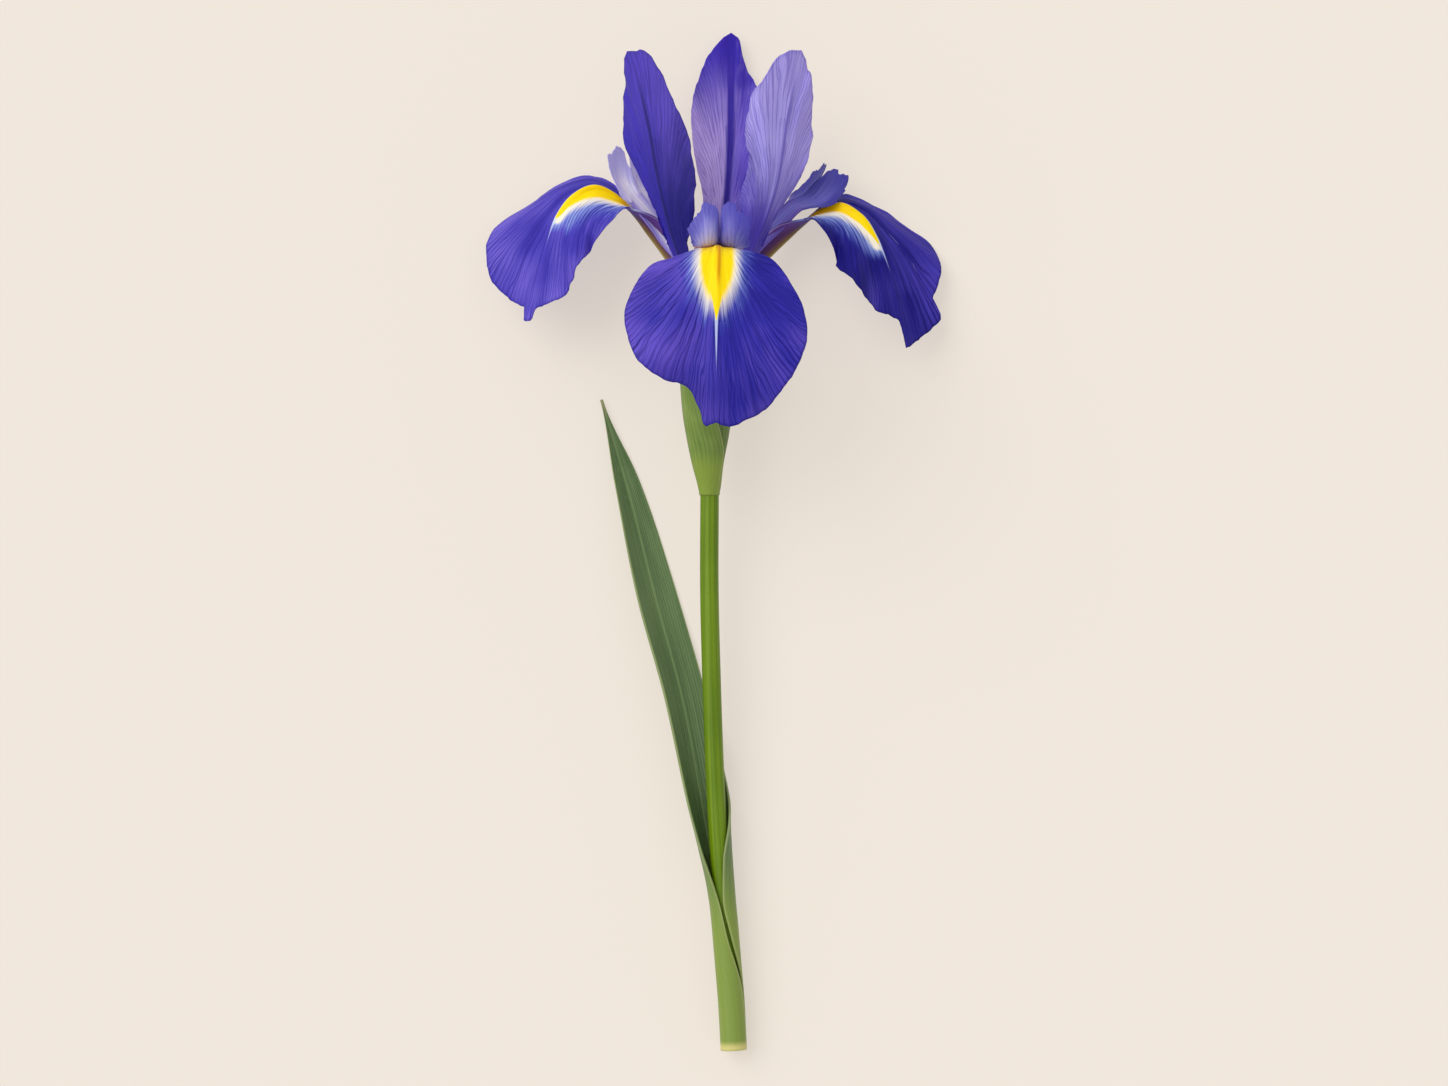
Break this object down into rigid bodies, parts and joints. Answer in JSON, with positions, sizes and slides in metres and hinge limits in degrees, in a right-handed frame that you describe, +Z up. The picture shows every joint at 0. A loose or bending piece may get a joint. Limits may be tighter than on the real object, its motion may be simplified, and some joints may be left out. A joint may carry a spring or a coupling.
{
  "type": "iris flower",
  "caption": "Cut violet-blue iris in bloom with drooping falls, upright standards, crested style arms, green stem and one sheathing leaf, lying on its back.",
  "frame": {"origin": "centre of the bounding box's bottom face, on the surface that the flower lies on", "axes": "+Y runs up the stem from the cut end to the bloom, +Z is up and is the way the bloom's front faces, +X is to the right seen from above"},
  "size_m": [0.1148, 0.2572, 0.0559],
  "materials": {
    "stem": "smooth fresh green stalk, faintly ribbed",
    "leaf": "grey-green leaf with parallel veins and a pale midrib",
    "spathe": "ribbed green bract with a thin pale margin",
    "ovary": "smooth green, hidden in the spathe",
    "fall": "velvety violet-blue petal with fine branching veins and a yellow signal",
    "standard": "silky violet petal with fine veins",
    "style_arm": "translucent lavender petal-like arm with a toothed crest",
    "stamen": "cream filament and pollen-dusted anther, hidden under the style arm"
  },
  "bodies": {
    "root": {"stem": "stem", "leaf": "leaf", "ovary": "ovary", "spathe_outer": "spathe", "spathe_inner": "spathe", "fall_front": "fall", "fall_left": "fall", "fall_right": "fall", "standard_left": "standard", "standard_right": "standard", "standard_back": "standard", "style_arm_front": "style_arm", "style_arm_left": "style_arm", "style_arm_right": "style_arm", "stamen_front": "stamen", "stamen_left": "stamen", "stamen_right": "stamen"}
  },
  "joints": []
}
